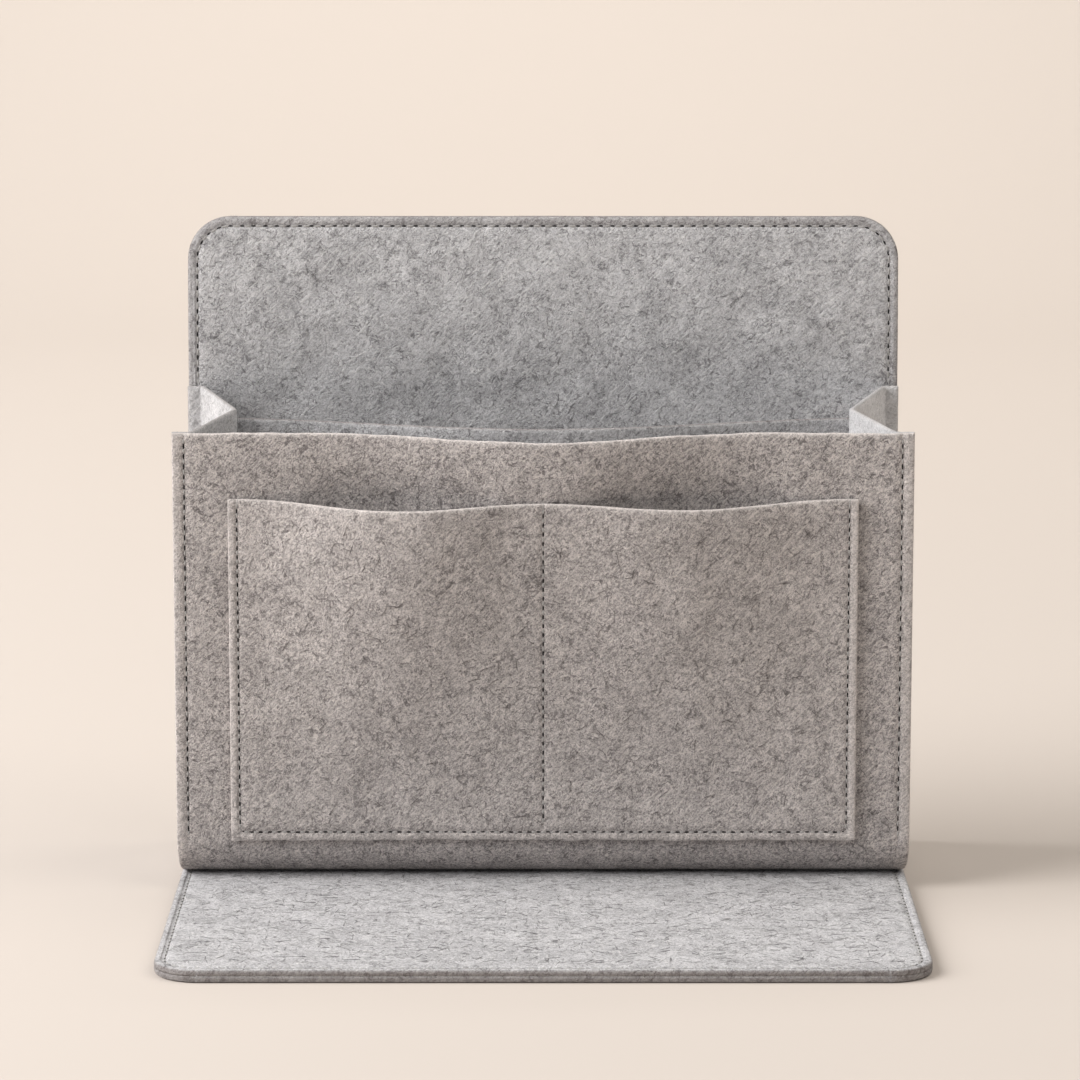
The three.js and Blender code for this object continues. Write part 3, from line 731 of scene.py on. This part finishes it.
def gussetPieces(side, name):
    outer = np.array([[stripHalf, rearSeamY], [hingeX, rearSeamY], [foldX, 0], [hingeX, frontSeamY],
                      [frontHalf, frontSeamY]])
    runs = np.diff(outer, axis=0)
    runs /= np.linalg.norm(runs, axis=1, keepdims=True)
    normals = np.stack([runs[:, 1], -runs[:, 0]], -1)       # towards the pocket
    bisectors = normals[:-1] + normals[1:]
    turned = 1 + (normals[:-1] * normals[1:]).sum(1, keepdims=True)
    corners = np.concatenate([outer[:1] + normals[:1] * thick / 2,
                              outer[1:-1] + bisectors * thick / 2 / turned,
                              outer[-1:] + normals[-1:] * thick / 2])
    path, length = roundedPath(corners, gusset["bend"])
    tangent = np.gradient(path, length, axis=0)
    tangent /= np.linalg.norm(tangent, axis=1, keepdims=True)
    inward = np.stack([tangent[:, 1], -tangent[:, 0]], -1)
    nearest = [np.argmin(np.linalg.norm(path - corner, axis=1)) for corner in corners[1:-1]]
    cornerAt = np.round(length[nearest], gridDigits)
    total = length[-1]
    flangeLow = frontFlangeBox[0][2]
    lowAt = [0, cornerAt[1], cornerAt[2], cornerAt[2] + gusset["riseEase"], total]
    lowZ = [gussetBottom, gussetBottom, gussetBottom + gusset["frontRise"], flangeLow, flangeLow]

    # the path in plan, swept up from its lower edge to a sloping top edge
    def place(a, b, h):
        x = np.interp(a, length, path[:, 0]) + h * np.interp(a, length, inward[:, 0])
        y = np.interp(a, length, path[:, 1]) + h * np.interp(a, length, inward[:, 1])
        top = gussetRearTop + gussetSlope * np.clip(rearSeamY - y, 0, gussetDepth)
        return side * x, y, top - b * (top - np.interp(a, lowAt, lowZ))

    firstCut, secondCut = np.round((cornerAt[:-1] + cornerAt[1:]) / 2, gridDigits)
    rear, front = f"{name}_gusset_rear", f"{name}_gusset_front"
    parts = [("Rear", 0, firstCut, 0, ("back", rear), [f"{rear}_flange"]),
             ("Middle", firstCut, secondCut, 1, (rear, front), [f"{rear}_half"])]
    if side < 0:
        parts.append(("Front", secondCut, total, 2, (front, "front"), [f"{front}_half", f"{front}_flange"]))
    else:                                                   # the open pivot: half and flange stay separate
        parts.append(("Front", secondCut, cornerAt[2], 2, (front,), [f"{front}_half"]))
        parts.append(("Flange", cornerAt[2], total, 2, ("front",), [f"{front}_flange"]))
    made = []
    for label, low, high, fold, bodies, replaced in parts:
        first, last = low == 0, high == total               # pieces with an upright cut edge
        # at a join a fine column keeps the shading level
        close = [cornerAt[fold] + np.linspace(-gusset["bend"], gusset["bend"], gusset["bendLines"])]
        close += [edgeSteps, stripInset + rowSteps] if first else [[low + gusset["joinStep"]]]
        close += [total - edgeSteps] if last else [[high - gusset["joinStep"]]]
        edgeRows = edgeSteps / gussetTall
        rows = gridLines(0, 1, gusset["step"] / gussetTall, [edgeRows, 1 - edgeRows])
        a, b = np.meshgrid(gridLines(low, high, gusset["step"], close), rows)
        edge = np.minimum(b, 1 - b) * gussetTall
        edge = np.minimum(edge, a) if first else edge
        edge = np.minimum(edge, total - a) if last else edge
        dent = -groove(a - stripInset) * first
        if bodies == (front,):                              # thinned so that it can swing at the open seam
            dent = dent - gusset["skive"] * rise(a, high - gusset["skiveRun"], high)
        # the gussets are laid paler all over: painted light that brightens their faces beyond what the lamps
        # give, more on the right gusset
        piece = feltSheet(f"{name}Gusset{label}", a, b, place, edge, (dent, 0 * a), strands=0,
                          pale=gusset["paleLeft" if side < 0 else "paleRight"],
                          joined=(not first, not last))
        if len(bodies) == 1:
            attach(piece, bodies[0])
        else:
            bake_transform(piece)
        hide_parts(*replaced)
        if label == "Flange":
            piece.data.materials.append(feltGrey)
            sewnOn(piece, made[-1])
        else:
            finishFelt(piece, (high - low, gussetTall), "hung")
        made.append(piece)
    return made[0], place


leftRear, leftPlace = gussetPieces(-1, "left")
rightRear, rightPlace = gussetPieces(1, "right")

# stitches; a hole is its length and width
stitch = {"radius": 0.36, "lift": 0.15, "taper": 0.7, "flat": 0.7, "sides": 6, "rings": 6, "jitter": 0.12,
          "hole": (2.3, 1.1), "frontHole": (2.6, 0.9), "patchHole": (2.2, 1.0), "holeRim": 8,
          "holeLift": 0.16, "holeDeep": 0.2, "tail": 3.2, "tailBack": 1, "tailRadius": 0.2,
          "tailTaper": 0.4, "tailLift": (0.5, 0.7), "tailArch": 2.4, "tailSway": 0.5,
          "probeUp": 0.4, "probeAlong": 0.3}


# Each stitch is a tapered tube along the row whose middle lifts by a parabola; between two stitches
# lies a small closed lens for the needle hole, near black as painted shade in the hole. A loose end is a
# tube that lifts by part of a sine.
def stitchRow(name, rowA, rowB, place, height, pitch, cloth, tails=(), hole=stitch["hole"]):
    points = np.stack(place(rowA, rowB, height + 0 * rowA), -1)
    above = np.stack(place(rowA, rowB, height + stitch["probeUp"] + 0 * rowA), -1) - points
    along = np.concatenate([[0], np.cumsum(np.linalg.norm(np.diff(points, axis=0), axis=1))])
    count = int(along[-1] / pitch)
    pace = along[-1] / count

    def sample(values, s):
        return np.stack([np.interp(s, along, values[:, axis]) for axis in range(3)], -1)

    # place, direction, upward and sideways at lengths s along the row
    def frameAt(s):
        spot, up = sample(points, s), sample(above, s)
        run = sample(points, s + stitch["probeAlong"]) - sample(points, s - stitch["probeAlong"])
        run /= np.linalg.norm(run, axis=-1, keepdims=True)
        up = up - run * (up * run).sum(-1, keepdims=True)
        up /= np.linalg.norm(up, axis=-1, keepdims=True)
        return spot, run, up, np.cross(run, up)

    sides, rings, rimCount = stitch["sides"], stitch["rings"], stitch["holeRim"]
    turn = np.linspace(0, 2 * np.pi, sides, endpoint=False)
    centres = (np.arange(count) + 0.5) * pace + dice.normal(0, stitch["jitter"], count)
    steps = np.linspace(-1, 1, rings)
    spot, run, up, aside = frameAt(centres[:, None] + steps * (pace - hole[0]) / 2)
    taper = (stitch["radius"] * (1 - stitch["taper"] * steps ** 4))[:, None, None]
    lift = (stitch["lift"] * (1 - steps ** 2))[:, None, None]
    ring = spot[:, :, None] + (lift + stitch["flat"] * taper * np.sin(turn)[:, None]) * up[:, :, None]
    ring = ring + taper * np.cos(turn)[:, None] * aside[:, :, None]
    index = np.arange(count * rings * sides).reshape(count, rings, sides)
    first, last = index[:, 0], index[:, -1]
    caps = np.concatenate([first[:, [0, 1, 2, 3]], first[:, [0, 3, 4, 5]],      # two quads close six sides
                           last[:, [3, 2, 1, 0]], last[:, [5, 4, 3, 0]]])
    allPoints = ring.reshape(-1, 3)
    faces = tubeQuads(index).tolist() + caps.tolist()

    spot, run, up, aside = frameAt(np.arange(1, count) * pace)
    rim = np.linspace(0, 2 * np.pi, rimCount, endpoint=False)[:, None]
    oval = hole[0] / 2 * np.cos(rim) * run[:, None] + hole[1] / 2 * np.sin(rim) * aside[:, None]
    lens = np.concatenate([spot[:, None] + oval, (spot + stitch["holeLift"] * up)[:, None],
                           (spot - stitch["holeDeep"] * up)[:, None]], 1)
    start = len(allPoints) + lens.shape[1] * np.arange(len(lens))[:, None, None]
    around = np.stack([np.arange(rimCount), np.roll(np.arange(rimCount), -1)], -1)
    tip = np.full((rimCount, 1), rimCount)
    for fan in (np.concatenate([around[:, ::-1], tip], 1), np.concatenate([around, tip + 1], 1)):
        faces += (fan[None] + start).reshape(-1, 3).tolist()
    pit = np.concatenate([np.zeros(len(allPoints)), np.ones(lens.shape[0] * lens.shape[1])])
    allPoints = np.concatenate([allPoints, lens.reshape(-1, 3)])

    for end in tails:                                       # loose thread ends beyond the row
        spot, run, up, aside = [value[0] for value in frameAt(np.array([along[-1] * end]))]
        away = run * (2 * end - 1)
        s = np.linspace(0, 1, rings)[:, None]
        raised = stitch["tailLift"][0] + stitch["tailLift"][1] * np.sin(stitch["tailArch"] * s)
        line = spot + away * (stitch["tail"] * s - stitch["tailBack"]) + up * raised
        line = line + aside * dice.normal(0, stitch["tailSway"]) * s ** 2
        circle = np.cos(turn)[:, None] * aside + np.sin(turn)[:, None] * up
        tube = line[:, None] + stitch["tailRadius"] * (1 - stitch["tailTaper"] * s[..., None] ** 3) * circle
        index = len(allPoints) + np.arange(rings * sides).reshape(rings, sides)
        faces += tubeQuads(index).tolist() + [index[0].tolist(), index[-1, ::-1].tolist()]
        allPoints = np.concatenate([allPoints, tube.reshape(-1, 3)])
        pit = np.concatenate([pit, np.zeros(rings * sides)])
    piece = addMesh(name, allPoints, faces, pit=pit)
    piece.data.materials.append(threadGrey)
    sewnOn(piece, cloth)
    print("stitches", name, count)
    return piece


# a row along one side, round two quarter circles and back along the other side
def archRow(half, start, end, radius, sidePoints=120, cornerPoints=12):
    turnSign = np.sign(end - start)
    t = np.linspace(0, np.pi / 2, cornerPoints)
    side = np.linspace(start, end - turnSign * radius, sidePoints)[:-1]
    rowA = np.concatenate([np.full(len(side), half), half - radius + radius * np.cos(t)])
    rowB = np.concatenate([side, end - turnSign * radius * (1 - np.sin(t))])
    return np.concatenate([rowA, -rowA[::-1]]), np.concatenate([rowB, rowB[::-1]])


# where rows start and end, their depth in the groove, and the pitch of their stitches
row = {"depth": 0.48, "rearDepth": 0.3, "stripPitch": 5.3, "basePitch": 5.0, "frontPitch": 4.5,
       "rearPitch": 5.0, "patchPitch": 4.1, "backStart": 2, "rearStart": 4, "flapStart": 8,
       "topStart": 1.0, "patchCorner": 3, "rearSpan": (0.01, 0.99), "shortPoints": 80, "longPoints": 120,
       "centrePoints": 100}
cornerRow = strip["corner"] - stripInset
onStrip = stripMiddle - row["depth"]
onFront = thick / 2 - row["depth"]
backArch = archRow(seamX, backTop - gussetRearTop - row["backStart"], stripInset, cornerRow)
rearArch = archRow(seamX, backRun - row["rearStart"], stripInset, cornerRow)
flapArch = archRow(seamX, flapStart + row["flapStart"], stripRun - stripInset, cornerRow)
stripRows = (("backStitches", backArch, stripPlace, stripInner, (0, 1), "back", "back_edge_thread_front"),
             ("flapStitches", flapArch, stripPlace, stripInner, (), "flap", "flap_edge_thread_top"),
             ("rearStitches", rearArch, stripBehind, stripOuter, (), "back", "back_edge_thread_rear"),
             ("underStitches", flapArch, stripBehind, stripOuter, (), "flap", "flap_edge_thread_bottom"))
for name, arch, place, cloth, tails, body, node in stripRows:
    piece = stitchRow(name, *arch, place, onStrip, row["stripPitch"], cloth, tails)
    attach(piece, body)
    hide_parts(node)

rowA = np.linspace(-hingeX, hingeX, row["shortPoints"])
rowB = np.full(row["shortPoints"], backTop - baseThreadBox[0][2] - halfThread)
baseStitches = stitchRow("baseStitches", rowA, rowB, stripBehind, stripMiddle, row["basePitch"], stripOuter)
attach(baseStitches, "back")
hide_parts("base_seam_thread")

for side, name, place, rearPiece in ((-1, "left", leftPlace, leftRear), (1, "right", rightPlace, rightRear)):
    rowA = np.full(row["longPoints"], side * seamX)
    rowB = np.linspace(row["topStart"], panelRun, row["longPoints"])
    seamStitches = stitchRow(f"{name}FrontStitches", rowA, rowB, frontPlace, onFront, row["frontPitch"],
                             frontPanel, hole=stitch["frontHole"])
    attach(seamStitches, "front")
    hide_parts(f"{name}_front_seam_thread")
    rowA = np.full(row["shortPoints"], stripInset)
    rowB = np.linspace(*row["rearSpan"], row["shortPoints"])        # share of the gusset's height
    flangeStitches = stitchRow(f"{name}RearStitches", rowA, rowB, place, thick / 2 - row["rearDepth"],
                               row["rearPitch"], rearPiece)
    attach(flangeStitches, "back")
    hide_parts(f"{name}_rear_seam_thread")

patchArch = archRow(patchRowX, row["topStart"], patchRowB, row["patchCorner"])
centreRow = (np.zeros(row["centrePoints"]),
             np.linspace(row["topStart"], patchRowB - row["patchCorner"], row["centrePoints"]))
for name, path, tails, node in (("patchStitches", patchArch, (0, 1), "patch_edge_thread"),
                                ("centreStitches", centreRow, (0,), "patch_centre_thread")):
    piece = stitchRow(name, *path, patchPlace, onFront, row["patchPitch"], patchPanel, tails,
                      stitch["patchHole"])
    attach(piece, "front")
    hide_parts(node)

# stage: floor that curves up into a backdrop, just below the object
stage = {"front": -3000, "flat": 1900, "turn": 1600, "wall": 1500, "half": 4500, "below": 0.2, "arcRows": 24,
         "surface": {"Base Color": (0.565, 0.512, 0.468, 1), "Roughness": 0.9, "Specular IOR Level": 0.1}}
stageArc = np.pi / 2 * stage["turn"]
arcEnd = stage["flat"] + stageArc


# Flat, a quarter circle, then upright.
def stagePlace(a, b):
    angle = np.clip((b - stage["flat"]) / stage["turn"], 0, np.pi / 2)
    up = np.maximum(b - arcEnd, 0)
    y = np.minimum(b, stage["flat"]) + stage["turn"] * np.sin(angle)
    return np.stack([a, y, stage["turn"] * (1 - np.cos(angle)) + up - stage["below"]], -1)


stageRows = np.concatenate([[stage["front"], 0], np.linspace(stage["flat"], arcEnd, stage["arcRows"]),
                            [arcEnd + stage["wall"]]])
a, b = np.meshgrid(np.linspace(-stage["half"], stage["half"], 5), stageRows)
stageFaces = gridQuads(np.arange(a.size).reshape(a.shape))
floor = addMesh("floor", stagePlace(a, b).reshape(-1, 3), stageFaces.tolist())
floorPaint = newMaterial("floorPaint", stage["surface"])[0]
floor.data.materials.append(floorPaint)
print("stage", floor.name)

# light, in metres and watts
daylight = {"colour": (1.0, 0.985, 0.97, 1), "strength": 0.29}
lamps = {"keyLight": {"spot": (-2.4, -0.6, 1.86), "aim": (0, 0, 0.15), "size": 2.9, "power": 156,
                      "colour": (1.0, 0.985, 0.975)},
         "fillLight": {"spot": (1.7, -0.2, 2.5), "aim": (0, 0, 0.15), "size": 3.2, "power": 48,
                       "colour": (1.0, 0.945, 0.87)},
         "wallLight": {"spot": (0, 1.9, 2.3), "aim": (0, 3.2, 0.7), "size": 1.6, "power": 34,
                       "colour": (1.0, 0.955, 0.90)}}
world = bpy.data.worlds.new("studio")
bpy.context.scene.world = world
world.use_nodes = True
world.node_tree.nodes["Background"].inputs["Color"].default_value = daylight["colour"]
world.node_tree.nodes["Background"].inputs["Strength"].default_value = daylight["strength"]
for name, settings in lamps.items():
    lamp = bpy.data.lights.new(name, "AREA")
    lamp.shape = "DISK"
    lamp.size = settings["size"]
    lamp.energy = settings["power"]
    lamp.color = settings["colour"]
    holder = bpy.data.objects.new(name, lamp)
    bpy.context.scene.collection.objects.link(holder)
    holder.location = settings["spot"]
    direction = Vector(settings["aim"]) - Vector(settings["spot"])
    holder.rotation_euler = direction.to_track_quat("-Z", "Y").to_euler()
    print("lamp", name, settings["power"], "W")

# camera, in metres and degrees
eye = {"spot": (-0.0014, -2.0463, 0.5047), "pitch": 9.8, "lens": 153.33, "sensor": 36, "farthest": 50}
camera = bpy.data.objects.new("camera", bpy.data.cameras.new("camera"))
bpy.context.scene.collection.objects.link(camera)
camera.location = eye["spot"]
camera.rotation_euler = (np.radians(90 - eye["pitch"]), 0, 0)
camera.data.lens = eye["lens"]
camera.data.sensor_width = eye["sensor"]
camera.data.clip_end = eye["farthest"]
bpy.context.scene.camera = camera
bpy.context.scene.view_settings.view_transform = "Standard"
